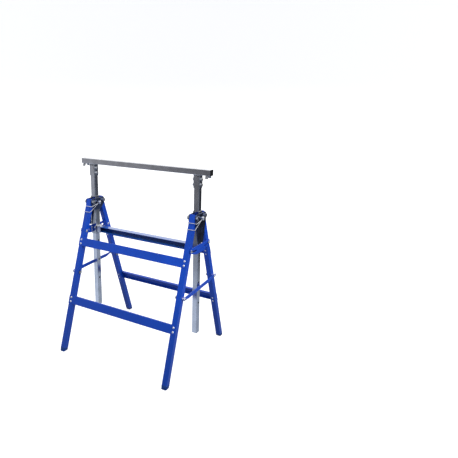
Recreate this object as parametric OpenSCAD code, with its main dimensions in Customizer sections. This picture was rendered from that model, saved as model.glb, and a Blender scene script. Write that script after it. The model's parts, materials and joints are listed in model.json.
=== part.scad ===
// Folding builders trestle with a height-adjustable top beam, drawn at its lowest setting.
// X runs along the beam, -Y is the front, +Z is up. The origin is on the floor under the middle.

/* [Overall] */
// Height of the beam's top above the leg pivots at the lowest setting
rest_height = 205; // [185:1:240]
// Length of the top beam's tube, without its end caps
beam_length = 696; // [660:1:780]
// Distance from each end of the beam to its post's centre line
end_spacing = 63; // [48:1:100]
// Distance between the centres of the front and rear feet on the floor
foot_spread = 510; // [460:1:560]
// Height of the leg pivots above the floor
pivot_height = 680; // [600:1:760]
// Distance of each leg pivot from the face of the guide sleeve
pivot_y = 21; // [19:0.5:27]

/* [Top beam] */
// Outside size of the beam's square tube
beam_tube = 25; // [22:0.5:30]
// Wall of the beam's tube
beam_wall = 2; // [1.2:0.1:3]
// Thickness of the end cap's flange
cap_flange = 2; // [1:0.1:4]
// Depth of the end cap's plug inside the tube
cap_plug = 16; // [8:1:30]
// Distance from the beam's end to the middle of its lugs
lug_inset = 15; // [12:1:22]
// Width of a lug along the beam
lug_w = 14; // [8:1:18]
// Length of a lug's splayed tab
lug_h = 13; // [8:1:18]
// Splay of the lugs from upright
lug_splay = 18; // [5:1:30]
// Thickness of the lug's sheet
lug_t = 2; // [1.5:0.1:3]

/* [Posts] */
// Outside size of the post's square tube
post_tube = 25; // [22:0.5:26]
// Wall of the post's tube
post_wall = 2; // [1.2:0.1:3]
// Height of the post's lower end above the floor
post_floor_gap = 137; // [125:1:143]
// Distance between locking holes
hole_pitch = 98; // [92:0.5:100]
// Number of locking holes
hole_count = 5; // [4:1:5]

/* [Beam sockets] */
// Length of the socket's cheeks below its top plate
socket_h = 54; // [46:1:70]
// Thickness of the socket's sheet
socket_t = 2.5; // [1.5:0.1:4]
// Gap between the post's top and the socket's top plate
socket_gap = 4; // [1:0.5:8]
// Side clearance between post and socket
socket_fit = 0.2; // [0.1:0.05:0.5]
// Distance of the upper cross bolt below the beam
socket_bolt_1 = 20; // [16:1:24]
// Distance of the lower cross bolt above the socket's lower edge
socket_bolt_2 = 13.5; // [10:0.5:20]

/* [Head] */
// Least wall of the guide sleeve, which is as wide as the washered legs need
sleeve_wall = 2; // [1.5:0.1:3]
// Least thickness of the washers beside the legs
washer_least = 1; // [0.5:0.1:2]
// Gap between post and guide sleeve on each side
slide_gap = 0.5; // [0.3:0.05:0.6]
// Height of the sleeve's top above the leg pivots
sleeve_above = 24; // [18:1:40]
// Length of the sleeve below the spreader's lower edge
sleeve_below = 4; // [1:0.5:10]
// Thickness of the cheek, spreader and tie plates
plate_t = 3; // [2:0.1:3]
// Height of the cheek's top above the leg pivots
cheek_above = 15; // [12:1:18]
// Gap between the outer cheek's lower edge and the spreader
cheek_below = 4; // [1:0.5:32]
// Margin of cheek round the pivot bolts
cheek_margin = 10; // [9:0.5:12]
// Half width of the outer cheek at its lower edge
cheek_foot = 24; // [18:1:28]
// Depth of the inner cheek's lower edge below the leg pivots
inner_cheek = 42; // [36:1:60]
// Half width of the inner cheek at its lower edge
inner_cheek_foot = 18; // [16:0.5:24]
// Height of the spreader's top edge above the stop pins' circle
spreader_top = 19; // [15:0.5:26]
// Depth of the spreader's lower edge below the stop pins' circle, at the middle
spreader_bottom = 19; // [15:0.5:26]
// Margin of spreader round the stop pins
spreader_margin = 12; // [9:0.5:13]
// Half width of the spreader's flat lower edge
spreader_keel = 24; // [18:1:28]
// Distance of the stop pins from the leg pivots
stop_radius = 141; // [120:1:165]
// Diameter of the stop pins
stop_d = 8; // [6:0.5:9]
// Height of the stop pins' heads
stop_head = 2.2; // [1.5:0.1:3]

/* [Tie bar] */
// Height of the tie bar's channel
tie_h = 26; // [20:1:28]
// Depth of the tie bar's channel from front to back
tie_d = 30; // [22:1:32]
// Thickness of the tie bar's sheet
tie_t = 2; // [1.5:0.1:3]
// Depth of the tie bar's middle below the spreader's top edge
tie_drop = 17; // [15:0.5:21]
// Length of the bracket at each end of the tie bar
tie_bracket = 25; // [18:1:60]
// Width of the plate that joins a bracket to its guide sleeve
tie_plate_w = 44; // [38:1:46]
// Margin of that plate above and below the bracket
tie_plate_margin = 3; // [1:0.5:4]

/* [Legs] */
// Outside size of the leg's square tube
leg_tube = 25; // [22:0.5:26]
// Wall of the leg's tube
leg_wall = 1.5; // [1.2:0.1:2.5]
// Length of leg above its pivot
leg_top = 14; // [12:0.5:16]
// Diameter of the leg pivot bolts
pivot_d = 10; // [8:0.5:10]
// Height of the plastic foot along the leg
foot_h = 14; // [10:1:40]
// Step of the foot round the leg
foot_lip = 0.6; // [0.2:0.1:2]

/* [Rails] */
// Depth of the upper rail's middle below the spreader's lower edge
upper_rail = 21; // [18:0.5:60]
// Depth of the lower rail's middle below the upper rail's middle
lower_rail = 264; // [230:1:320]
// Height of a rail along the legs
rail_h = 38; // [32:1:44]
// Depth of a rail's flanges
rail_flange = 12; // [8:0.5:18]
// Thickness of a rail's sheet
rail_t = 1.5; // [1:0.1:2.5]
// Distance between the two rivets at a rail's end
rivet_pitch = 19; // [14:1:22]
// Diameter of a rivet's shank
rivet_d = 5; // [4:0.5:6]

/* [Stays] */
// Distance of the stay's pivot from the leg pivot, along the front leg
stay_pivot = 339; // [300:1:380]
// Distance of the hook bolt from the leg pivot, along the rear leg
stay_hook = 329; // [290:1:370]
// Width of a stay
stay_w = 16; // [15:0.5:17]
// Thickness of a stay's sheet
stay_t = 2.5; // [2:0.1:3]
// Height of the ribs along a stay's edges
stay_rib = 2; // [1:0.1:3]
// Length of stay past the hook bolt
stay_tip = 13; // [11:0.5:15]
// Gap between a stay and the heads of the stop pins that it swings past
stay_gap = 0.5; // [0.4:0.1:2]
// Diameter of the stay's bolts
stay_bolt_d = 8; // [6:0.5:8]

/* [Lock pins] */
// Depth of the lock pins below the leg pivots
pin_drop = 6; // [4:0.5:10]
// Diameter of the lock pins
pin_d = 9; // [7:0.5:10]
// Distance that a lock pin is pushed home from its drawn position
pin_throw = 4.5; // [3.5:0.1:5]
// Diameter of the lock pin's head
pin_head_d = 16; // [13:0.5:18]
// Length of the lock pin's head
pin_head = 11; // [10.5:0.5:14]
// Diameter of the clip's wire
clip_d = 3; // [2:0.1:3.5]
// Depth of the clip's upper strand below the leg pivots, at the leg
clip_upper = 18; // [17:1:20]
// Depth of the clip's lower strand below the leg pivots, at the leg
clip_lower = 44; // [40:1:48]

/* [Hidden] */
$fn = 48;

left = -1;
right = 1;
front = -1;
rear = 1;

zinc = "#b9bec4";
bright_zinc = "#d7dade";
blue_paint = "#1d45d0";
navy_plastic = "#142a66";
dark_paint = "#10182f";
black_plastic = "#1b1c1f";

// Clearances between pieces that move past each other, and in drilled holes
run_gap = 0.3;
pivot_fit = 0.08;
hole_fit = 0.1;
plug_fit = 0.15;
cut = 1;
far = 2000;

// Bolt proportions from the shank's diameter
function flats(d) = 1.6 * d;
function head_h(d) = 0.65 * d;
function nut_h(d) = 0.8 * d;
thread_end = 3;

post_x = beam_length / 2 - end_spacing;
beam_bottom = pivot_height + rest_height - beam_tube;
socket_drops = [socket_bolt_1, socket_t + socket_h - socket_bolt_2];
post_top = beam_bottom - socket_t - socket_gap;
pin_z = pivot_height - pin_drop;
hole_d = pin_d + 1;

sleeve_bore = post_tube + 2 * slide_gap;
leg_half = leg_tube / 2;
sleeve_tube = max(sleeve_bore + 2 * sleeve_wall, leg_tube + 2 * (washer_least + run_gap));
sleeve_half = sleeve_tube / 2;
plate_outer = sleeve_half + plate_t;

// Distance of the leg pivots from the middle plane, and depths below the leg pivots
pivot_at = sleeve_half + pivot_y;
spreader_high = stop_radius - spreader_top;
spreader_low = stop_radius + spreader_bottom;
cheek_low = spreader_high - cheek_below;
sleeve_low = spreader_low + sleeve_below;
tie_depth = spreader_high + tie_drop;
rail_depths = [spreader_low + upper_rail, spreader_low + upper_rail + lower_rail];

leg_angle = atan((foot_spread / 2 - pivot_at) / pivot_height);
leg_length = pivot_height / cos(leg_angle);
washer_t = sleeve_half - leg_half - run_gap;
washer_d = 1.8 * pivot_d;
rail_face = -leg_half - rail_t;

stay_inner = plate_outer + run_gap + stop_head + stay_gap;
stay_y = -pivot_at - stay_pivot * sin(leg_angle);
stay_z = pivot_height - stay_pivot * cos(leg_angle);
hook_y = pivot_at + stay_hook * sin(leg_angle);
hook_z = pivot_height - stay_hook * cos(leg_angle);
stay_span = norm([hook_y - stay_y, hook_z - stay_z]);
stay_slope = atan2(hook_z - stay_z, hook_y - stay_y);
// The hook's mouth follows the bolt's path as the legs close
mouth_angle = 18;
hook_gap = 0.4;
mouth_r = stay_bolt_d / 2 + hook_gap;
rib_start = 24;
rib_end = 52;
pivot_head_d = 14;
hook_head_d = 12;
stay_head_h = 3.5;
spacer_d = stay_bolt_d + 6;

// Distances along a leg from its pivot to the middle of each rail
rail_reaches = [for (depth = rail_depths) (depth + leg_half * sin(leg_angle)) / cos(leg_angle)];

// Points of an outline with each corner rounded by its own radius
function unit(v) = v / norm(v);
function corner_arc(a, b, c, r, steps = 6) =
    let(u = unit(a - b), v = unit(c - b))
    let(half = acos(u * v) / 2, reach = r / tan(half))
    let(middle = b + unit(u + v) * r / sin(half))
    let(p = b + u * reach - middle, turn = 180 - 2 * half)
    let(sense = sign(u[1] * v[0] - u[0] * v[1]))
    [for (i = [0:steps])
        let(t = sense * turn * i / steps)
        middle + [p[0] * cos(t) - p[1] * sin(t), p[0] * sin(t) + p[1] * cos(t)]];
function rounded(points, radii) =
    let(n = len(points))
    [for (i = [0:n - 1])
        each radii[i] > 0
            ? corner_arc(points[(i + n - 1) % n], points[i], points[(i + 1) % n], radii[i])
            : [points[i]]];

// Rings of points round a wire that follows a path, each square to the path
function path_dir(path, i) =
    unit(unit(path[min(i + 1, len(path) - 1)] - path[i] + [0, 0, 1e-9])
       + unit(path[i] - path[max(i - 1, 0)] + [0, 0, 1e-9]));
function carried(side, dir) = unit(side - (side * dir) * dir);
function sides_along(path, side, i = 0) =
    i == len(path) ? [] :
    let(s = carried(side, path_dir(path, i)))
    concat([s], sides_along(path, s, i + 1));

module wire(path, d, first_side = [0, 0, 1], facets = 8) {
    sides = sides_along(path, first_side);
    n = len(path);
    points = [for (i = [0:n - 1])
        let(s = sides[i], t = cross(path_dir(path, i), s))
        for (k = [0:facets - 1])
            path[i] + d / 2 * (cos(360 * k / facets) * s + sin(360 * k / facets) * t)];
    walls = [for (i = [0:n - 2]) for (k = [0:facets - 1])
        let(a = i * facets + k, b = i * facets + (k + 1) % facets)
        each [[a, a + facets, b], [b, a + facets, b + facets]]];
    caps = [for (k = [1:facets - 2])
        each [[0, k, k + 1], [(n - 1) * facets, (n - 1) * facets + k + 1, (n - 1) * facets + k]]];
    polyhedron(points, concat(walls, caps), convexity = 8);
}

// Rounded bend of a path at point b
function bend(a, b, c, r, steps = 6) =
    let(u = unit(a - b), v = unit(c - b), half = acos(u * v) / 2)
    let(p = b + u * r / tan(half), q = b + v * r / tan(half), m = b + unit(u + v) * r / sin(half))
    [for (i = [0:steps])
        let(w = unit((p - m) * (1 - i / steps) + (q - m) * (i / steps)))
        m + r * w];

// Basic shapes: a square tube along Z, a bar along X, a low domed head and a hexagon along X
module square_tube(size, wall, from, to) {
    translate([0, 0, from])
        linear_extrude(to - from)
            difference() {
                square(size, center = true);
                square(size - 2 * wall, center = true);
            }
}

module rod_x(d, from, to) {
    translate([from, 0, 0])
        rotate([0, 90, 0])
            cylinder(d = d, h = to - from);
}

module rod_y(d, from, to) {
    translate([0, to, 0])
        rotate([90, 0, 0])
            cylinder(d = d, h = to - from);
}

module hex_x(across_flats, from, to) {
    translate([from, 0, 0])
        rotate([0, 90, 0])
            rotate([0, 0, 30])
                cylinder(d = across_flats / cos(30), h = to - from, $fn = 6);
}

// Domed head of diameter d and height h, its flat side on z = 0
module dome(d, h) {
    r = (d * d / 4 + h * h) / (2 * h);
    intersection() {
        translate([0, 0, h - r])
            sphere(r = r);
        cylinder(d = d, h = h);
    }
}

module plate_x(from, to) {
    translate([from, 0, 0])
        rotate([90, 0, 90])
            linear_extrude(to - from)
                children();
}

// Places: one end of the trestle, its outer side, and a leg frame with its pivot as origin
module at_end(end) {
    translate([end * post_x, 0, 0])
        children();
}

module outward(end) {
    at_end(end)
        mirror([end < 0 ? 1 : 0, 0, 0])
            children();
}

module in_frame(side) {
    rotate([0, 0, side == rear ? 180 : 0])
        translate([0, -pivot_at, pivot_height])
            rotate([-leg_angle, 0, 0])
                children();
}

// Sliding top
module top_beam() {
    color(bright_zinc)
        translate([0, 0, beam_bottom + beam_tube / 2])
            rotate([0, 90, 0])
                square_tube(beam_tube, beam_wall, -beam_length / 2, beam_length / 2);
}

module beam_cap(end) {
    bore = beam_tube - 2 * beam_wall - 2 * plug_fit;
    color(black_plastic)
        translate([end * beam_length / 2, 0, beam_bottom + beam_tube / 2])
            mirror([end < 0 ? 1 : 0, 0, 0])
                rotate([0, 90, 0]) {
                    translate([0, 0, cap_flange / 2])
                        cube([beam_tube, beam_tube, cap_flange], center = true);
                    square_tube(bore, beam_wall, -cap_plug, 0);
                }
}

module end_lugs(end) {
    color(zinc)
        translate([end * (beam_length / 2 - lug_inset), 0, beam_bottom]) {
            translate([-lug_w / 2, -beam_tube / 2, -lug_t])
                cube([lug_w, beam_tube, lug_t]);
            for (side = [front, rear])
                translate([0, side * beam_tube / 2, 0])
                    mirror([0, side < 0 ? 1 : 0, 0])
                        rotate([lug_splay, 0, 0])
                            translate([-lug_w / 2, -lug_t, -lug_h])
                                cube([lug_w, lug_t, lug_h - lug_t * tan(lug_splay)]);
        }
}

module beam_socket(end) {
    inner = post_tube / 2 + socket_fit;
    outer = inner + socket_t;
    color(zinc)
        at_end(end)
            translate([0, 0, beam_bottom])
                difference() {
                    rotate([90, 0, 0])
                        translate([0, 0, -post_tube / 2])
                            linear_extrude(post_tube)
                                difference() {
                                    translate([-outer, -socket_t - socket_h])
                                        square([2 * outer, socket_t + socket_h]);
                                    translate([-inner, -socket_t - socket_h - cut])
                                        square([2 * inner, socket_h + cut]);
                                }
                    for (drop = socket_drops)
                        translate([0, 0, -drop])
                            rod_x(stay_bolt_d + 2 * hole_fit, -far, far);
                }
}

module socket_bolts() {
    face = post_tube / 2 + socket_fit + socket_t;
    color(bright_zinc)
        for (end = [left, right], drop = socket_drops)
            outward(end)
                translate([0, 0, beam_bottom - drop]) {
                    hex_x(flats(stay_bolt_d), face, face + head_h(stay_bolt_d));
                    rod_x(stay_bolt_d, -face - nut_h(stay_bolt_d) - thread_end, face);
                }
}

module socket_nuts() {
    face = post_tube / 2 + socket_fit + socket_t;
    color(bright_zinc)
        for (end = [left, right], drop = socket_drops)
            outward(end)
                translate([0, 0, beam_bottom - drop])
                    difference() {
                        hex_x(flats(stay_bolt_d), -face - nut_h(stay_bolt_d), -face);
                        rod_x(stay_bolt_d + 2 * hole_fit, -far, far);
                    }
}

module post(end) {
    color(bright_zinc)
        at_end(end)
            difference() {
                square_tube(post_tube, post_wall, post_floor_gap, post_top);
                for (i = [0:hole_count - 1])
                    translate([0, 0, pin_z - i * hole_pitch])
                        rod_x(hole_d, -far, far);
                for (drop = socket_drops)
                    translate([0, 0, beam_bottom - drop])
                        rod_x(stay_bolt_d + 2 * hole_fit, -far, far);
            }
}

// Head
module guide_sleeve(end) {
    wall = (sleeve_tube - sleeve_bore) / 2;
    color(bright_zinc)
        at_end(end)
            difference() {
                square_tube(sleeve_tube, wall, pivot_height - sleeve_low, pivot_height + sleeve_above);
                translate([0, 0, pin_z])
                    rod_x(pin_d + 2 * run_gap, -far, far);
            }
}

waist_r = 10;
foot_r = 5;

module cheek_outline(depth, foot) {
    ear = pivot_at + cheek_margin;
    top = pivot_height + cheek_above;
    low = pivot_height - depth;
    waist = pivot_height - cheek_above;
    polygon(rounded(
        [[-ear, top], [-ear, waist], [-foot, low], [foot, low], [ear, waist], [ear, top]],
        [ear_r, waist_r, foot_r, foot_r, waist_r, ear_r]));
}

// Cheek plate on the sleeve's outer face (face = 1) or inner face (face = -1)
module cheek(end, face) {
    depth = face > 0 ? cheek_low : inner_cheek;
    foot = face > 0 ? cheek_foot : inner_cheek_foot;
    color(zinc)
        outward(end)
            difference() {
                mirror([face < 0 ? 1 : 0, 0, 0])
                    plate_x(sleeve_half, plate_outer)
                        cheek_outline(depth, foot);
                for (side = [front, rear])
                    translate([0, side * pivot_at, pivot_height])
                        rod_x(pivot_d + 2 * hole_fit, -far, far);
                translate([0, 0, pin_z])
                    rod_x(pin_d + 2 * run_gap, -far, far);
            }
}

// Middle of the stop pin at a given angle of the front leg from upright
function stop_point(angle) =
    [-pivot_at - stop_radius * sin(angle), pivot_height - stop_radius * cos(angle)];

module stop_slot() {
    w = stop_d + 2 * run_gap;
    for (angle = [0, leg_angle])
        translate(stop_point(angle))
            circle(d = w);
    translate([-pivot_at, pivot_height])
        intersection() {
            difference() {
                circle(r = stop_radius + w / 2, $fn = 180);
                circle(r = stop_radius - w / 2, $fn = 180);
            }
            polygon([[0, 0], [0, -2 * stop_radius],
                [-2 * stop_radius * tan(leg_angle), -2 * stop_radius]]);
        }
}

// The spreader's lower edge runs flat, then rises in two stretches to its rounded ends
keel_run = 20;
keel_rise = 4;
top_r = 3;
ear_r = 8;
keel_r = 12;

module spreader_outline() {
    ear = stop_point(leg_angle);
    top = pivot_height - spreader_high;
    low = pivot_height - spreader_low;
    tip = spreader_margin - ear[0];
    shoulder = ear[1] - spreader_margin / 2;
    half = tip - (top - shoulder) * tan(leg_angle);
    bilge = [spreader_keel + keel_run, low + keel_rise];
    polygon(rounded(
        [[-half, top], [-tip, shoulder], [-bilge[0], bilge[1]], [-spreader_keel, low],
            [spreader_keel, low], bilge, [tip, shoulder], [half, top]],
        [top_r, ear_r, keel_r, keel_r, keel_r, keel_r, ear_r, top_r]));
}

module spreader(end) {
    color(blue_paint)
        outward(end)
            plate_x(sleeve_half, plate_outer)
                difference() {
                    spreader_outline();
                    stop_slot();
                    mirror([1, 0])
                        stop_slot();
                }
}

tie_half = post_x - plate_outer;

module channel_y(h, d, t, from, to) {
    translate([from, 0, 0])
        rotate([90, 0, 90])
            linear_extrude(to - from)
                difference() {
                    square([d, h], center = true);
                    translate([-t, 0])
                        square([d, h - 2 * t], center = true);
                }
}

module tie_bar() {
    color(dark_paint)
        translate([0, 0, pivot_height - tie_depth])
            channel_y(tie_h, tie_d, tie_t, -tie_half, tie_half);
}

// Bracket over the tie bar's end, closed at the front where the tie bar is open
module tie_bracket(end) {
    h = tie_h + 2 * tie_t;
    color(zinc)
        translate([0, -tie_t / 2, pivot_height - tie_depth])
            mirror([end < 0 ? 1 : 0, 0, 0])
                mirror([0, 1, 0])
                    channel_y(h, tie_d + tie_t, tie_t, tie_half - tie_bracket, tie_half);
}

module tie_plate(end) {
    half = tie_plate_w / 2;
    rise = tie_h / 2 + tie_t + tie_plate_margin;
    color(zinc)
        outward(end)
            mirror([1, 0, 0])
                plate_x(sleeve_half, plate_outer)
                    translate([0, pivot_height - tie_depth])
                        polygon(rounded([[-half, rise], [-half, -rise], [half, -rise], [half, rise]],
                            [foot_r, foot_r, foot_r, foot_r]));
}

module leg_pivot_bolts() {
    color(bright_zinc)
        for (end = [left, right], side = [front, rear])
            outward(end)
                translate([0, side * pivot_at, pivot_height]) {
                    hex_x(flats(pivot_d), plate_outer, plate_outer + head_h(pivot_d));
                    rod_x(pivot_d, -plate_outer - nut_h(pivot_d) - thread_end, plate_outer);
                }
}

module leg_pivot_nuts() {
    color(bright_zinc)
        for (end = [left, right], side = [front, rear])
            outward(end)
                translate([0, side * pivot_at, pivot_height])
                    difference() {
                        hex_x(flats(pivot_d), -plate_outer - nut_h(pivot_d), -plate_outer);
                        rod_x(pivot_d + 2 * hole_fit, -far, far);
                    }
}

module leg_pivot_washers() {
    color(bright_zinc)
        for (end = [left, right], side = [front, rear], face = [-1, 1])
            at_end(end)
                mirror([face < 0 ? 1 : 0, 0, 0])
                    translate([0, side * pivot_at, pivot_height])
                        difference() {
                            rod_x(washer_d, sleeve_half - washer_t, sleeve_half);
                            rod_x(pivot_d + 2 * hole_fit, -far, far);
                        }
}

// Leg frames. Each is drawn as the front frame, with its pivot as origin and its front face to -Y.
module rivet_places() {
    for (reach = rail_reaches, step = [-1, 1])
        translate([0, 0, -reach + step * rivet_pitch / 2])
            children();
}

module leg(side, end) {
    bolt_reach = side == front ? stay_pivot : stay_hook;
    color(blue_paint)
        in_frame(side)
            translate([-side * end * post_x, 0, 0])
                difference() {
                    square_tube(leg_tube, leg_wall, foot_h - leg_length, leg_top);
                    rod_x(pivot_d + 2 * pivot_fit, -far, far);
                    translate([0, 0, -stop_radius])
                        rod_x(stop_d + 2 * hole_fit, -far, far);
                    translate([0, 0, -bolt_reach])
                        rod_x(stay_bolt_d + 2 * hole_fit, -far, far);
                    rivet_places()
                        rod_y(rivet_d + 2 * hole_fit, -far, far);
                }
}

module rail(side, reach) {
    clear = post_x - leg_half - run_gap;
    color(blue_paint)
        in_frame(side)
            translate([0, 0, -reach])
                difference() {
                    union() {
                        translate([-post_x - leg_half, rail_face, -rail_h / 2])
                            cube([2 * post_x + leg_tube, rail_t, rail_h]);
                        for (edge = [-rail_h / 2, rail_h / 2 - rail_t])
                            translate([-clear, rail_face, edge])
                                cube([2 * clear, rail_flange, rail_t]);
                    }
                    for (end = [left, right], step = [-1, 1])
                        translate([end * post_x, 0, step * rivet_pitch / 2])
                            rod_y(rivet_d + 2 * hole_fit, -far, far);
                }
}

module rail_rivets(side) {
    color(bright_zinc)
        in_frame(side)
            for (end = [left, right])
                translate([end * post_x, 0, 0])
                    rivet_places() {
                        rod_y(rivet_d, rail_face, leg_half);
                        translate([0, rail_face, 0])
                            rotate([90, 0, 0])
                                dome(1.9 * rivet_d, 0.5 * rivet_d);
                        translate([0, leg_half, 0])
                            rotate([-90, 0, 0])
                                dome(1.6 * rivet_d, 0.4 * rivet_d);
                    }
}

module foot(side, end) {
    outer = leg_tube + 2 * foot_lip;
    bore = leg_tube - 2 * leg_wall - 2 * plug_fit;
    color(navy_plastic)
        difference() {
            in_frame(side)
                translate([-side * end * post_x, 0, -leg_length]) {
                    translate([0, 0, foot_h / 2 - leg_half])
                        cube([outer, outer, foot_h + leg_tube], center = true);
                    square_tube(bore, 2 * leg_wall, foot_h, 2 * foot_h);
                }
            translate([-far, -far, -far])
                cube([2 * far, 2 * far, far]);
        }
}

// Pins headed on the leg's inner face and, with a running gap, on the spreader's outer face
module stop_pins(side) {
    head_d = 1.7 * stop_d;
    reach = plate_outer + run_gap;
    color(bright_zinc)
        in_frame(side)
            for (end = [left, right])
                translate([end * post_x, 0, -stop_radius])
                    mirror([end < 0 ? 1 : 0, 0, 0]) {
                        rod_x(stop_d, -leg_half, reach);
                        translate([reach, 0, 0])
                            rotate([0, 90, 0])
                                dome(head_d, stop_head);
                        translate([-leg_half, 0, 0])
                            rotate([0, -90, 0])
                                dome(head_d, stop_head);
                    }
}

// Bolt through a leg that carries a stay outside it, with its spacer
module stay_bolts(side, reach, head_d) {
    seat = stay_inner + stay_t + run_gap;
    color(bright_zinc)
        in_frame(side)
            for (end = [left, right])
                translate([end * post_x, 0, -reach])
                    mirror([end < 0 ? 1 : 0, 0, 0]) {
                        rod_x(stay_bolt_d, -leg_half - nut_h(stay_bolt_d) - thread_end, seat);
                        translate([seat, 0, 0])
                            rotate([0, 90, 0])
                                dome(head_d, stay_head_h);
                        difference() {
                            rod_x(spacer_d, leg_half, stay_inner - run_gap);
                            rod_x(stay_bolt_d + 2 * hole_fit, -far, far);
                        }
                    }
}

module stay_nuts(side, reach) {
    color(bright_zinc)
        in_frame(side)
            for (end = [left, right])
                translate([end * post_x, 0, -reach])
                    mirror([end < 0 ? 1 : 0, 0, 0])
                        difference() {
                            hex_x(flats(stay_bolt_d), -leg_half - nut_h(stay_bolt_d), -leg_half);
                            rod_x(stay_bolt_d + 2 * hole_fit, -far, far);
                        }
}

module hook_mouth() {
    along = [-cos(mouth_angle), -sin(mouth_angle)];
    above = [-sin(mouth_angle), cos(mouth_angle)] * mouth_r;
    length = 3 * stay_w;
    translate([stay_span, 0]) {
        circle(r = mouth_r);
        polygon([[0, 0], above, above + along * length, [mouth_r, -length], [mouth_r, 0]]);
    }
}

module stay(end) {
    half = stay_w / 2;
    color(blue_paint)
        outward(end)
            translate([stay_inner, stay_y, stay_z])
                rotate([stay_slope, 0, 0])
                    rotate([90, 0, 90]) {
                        linear_extrude(stay_t)
                            difference() {
                                union() {
                                    circle(r = half);
                                    translate([0, -half])
                                        square([stay_span + stay_tip - half, stay_w]);
                                    translate([stay_span + stay_tip - half, 0])
                                        circle(r = half);
                                }
                                circle(d = stay_bolt_d + 2 * pivot_fit);
                                hook_mouth();
                            }
                        for (edge = [-half, half - stay_t])
                            translate([rib_start, edge, stay_t])
                                cube([stay_span - rib_start - rib_end, stay_t, stay_rib]);
                    }
}

// Lock pins, both pushed in from the +X side and drawn back clear of the posts.
// The clip's two strands run straight into the pin's head, one beside the other.
pin_seat = plate_outer + run_gap / 2 + pin_throw;
head_dome = 2;
strand_inset = 2.4;
upper_x = pin_seat + pin_head - head_dome - strand_inset;
lower_x = pin_seat + strand_inset;
strand_depth = 4;
strand_seat = pin_head_d / 2 - strand_depth;

// Middle of the clip's wire in front of the leg at a depth below the leg pivots, from the pin's axis
function clip_front(drop) =
    [-pivot_at - drop * tan(leg_angle) - leg_half / cos(leg_angle) - clip_d / 2 - 2 * run_gap,
        pin_drop - drop];
upper_strand = clip_front(clip_upper);
lower_strand = clip_front(clip_lower);

module strand_hole(x, strand) {
    translate([x, 0, 0])
        rotate([atan2(strand[1], strand[0]), 0, 0])
            rod_y(clip_d + 2 * hole_fit, strand_seat - hole_fit, far);
}

module lock_pin(end) {
    tip = post_tube / 2 + slide_gap / 2;
    nose = 2;
    color(bright_zinc)
        at_end(end)
            translate([0, 0, pin_z])
                difference() {
                    rotate([0, 90, 0]) {
                        translate([0, 0, tip])
                            cylinder(d1 = pin_d - nose, d2 = pin_d, h = nose);
                        translate([0, 0, tip + nose])
                            cylinder(d = pin_d, h = pin_seat - tip - nose);
                        translate([0, 0, pin_seat])
                            cylinder(d = pin_head_d, h = pin_head - head_dome);
                        translate([0, 0, pin_seat + pin_head - head_dome])
                            dome(pin_head_d, head_dome);
                    }
                    strand_hole(upper_x, upper_strand);
                    strand_hole(lower_x, lower_strand);
                }
}

module pin_clip(end) {
    far_x = -leg_half - clip_d / 2 - 2 * run_gap;
    back_y = -pivot_at - cheek_margin - clip_d / 2 - 2 * run_gap;
    upper_start = unit(upper_strand) * strand_seat;
    lower_start = unit(lower_strand) * strand_seat;
    corners = [
        [upper_x, each upper_start],
        [upper_x, each upper_strand],
        [far_x, each upper_strand],
        [far_x, back_y, upper_strand[1]],
        [far_x, back_y, lower_strand[1]],
        [far_x, each lower_strand],
        [lower_x, each lower_strand],
        [lower_x, each lower_start]
    ];
    last = len(corners) - 1;
    path = [
        corners[0],
        for (i = [1:last - 1])
            each bend(corners[i - 1], corners[i], corners[i + 1], 1.1 * clip_d),
        corners[last]
    ];
    color(bright_zinc)
        at_end(end)
            translate([0, 0, pin_z])
                wire(path, clip_d);
}

top_beam();
beam_cap(left);  // beam_cap_left
beam_cap(right);  // beam_cap_right
end_lugs(left);  // end_lugs_left
end_lugs(right);  // end_lugs_right
beam_socket(left);  // beam_socket_left
beam_socket(right);  // beam_socket_right
socket_bolts();
socket_nuts();
post(left);  // post_left
post(right);  // post_right
guide_sleeve(left);  // guide_sleeve_left
guide_sleeve(right);  // guide_sleeve_right
cheek(left, 1);  // outer_cheek_left
cheek(right, 1);  // outer_cheek_right
cheek(left, -1);  // inner_cheek_left
cheek(right, -1);  // inner_cheek_right
spreader(left);  // spreader_left
spreader(right);  // spreader_right
tie_bar();
tie_bracket(left);  // tie_bracket_left
tie_bracket(right);  // tie_bracket_right
tie_plate(left);  // tie_plate_left
tie_plate(right);  // tie_plate_right
leg_pivot_bolts();
leg_pivot_nuts();
leg_pivot_washers();
leg(front, left);  // front_leg_left
leg(front, right);  // front_leg_right
rail(front, rail_reaches[0]);  // front_upper_rail
rail(front, rail_reaches[1]);  // front_lower_rail
rail_rivets(front);  // front_rail_rivets
foot(front, left);  // front_foot_left
foot(front, right);  // front_foot_right
stop_pins(front);  // front_stop_pins
stay_bolts(front, stay_pivot, pivot_head_d);  // stay_pivot_bolts
stay_nuts(front, stay_pivot);  // stay_pivot_nuts
leg(rear, left);  // rear_leg_left
leg(rear, right);  // rear_leg_right
rail(rear, rail_reaches[0]);  // rear_upper_rail
rail(rear, rail_reaches[1]);  // rear_lower_rail
rail_rivets(rear);  // rear_rail_rivets
foot(rear, left);  // rear_foot_left
foot(rear, right);  // rear_foot_right
stop_pins(rear);  // rear_stop_pins
stay_bolts(rear, stay_hook, hook_head_d);  // stay_hook_bolts
stay_nuts(rear, stay_hook);  // stay_hook_nuts
stay(left);  // stay_left
stay(right);  // stay_right
lock_pin(left);  // lock_pin_left
lock_pin(right);  // lock_pin_right
pin_clip(left);  // pin_clip_left
pin_clip(right);  // pin_clip_right
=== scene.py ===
"""Looks of a folding builders trestle: its finishes, fasteners, feet and welds, and its stage."""

import json
import math

import bmesh
import bpy
from bpy.props import FloatProperty, FloatVectorProperty, IntProperty, PointerProperty
from mathutils import Matrix, Vector

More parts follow.
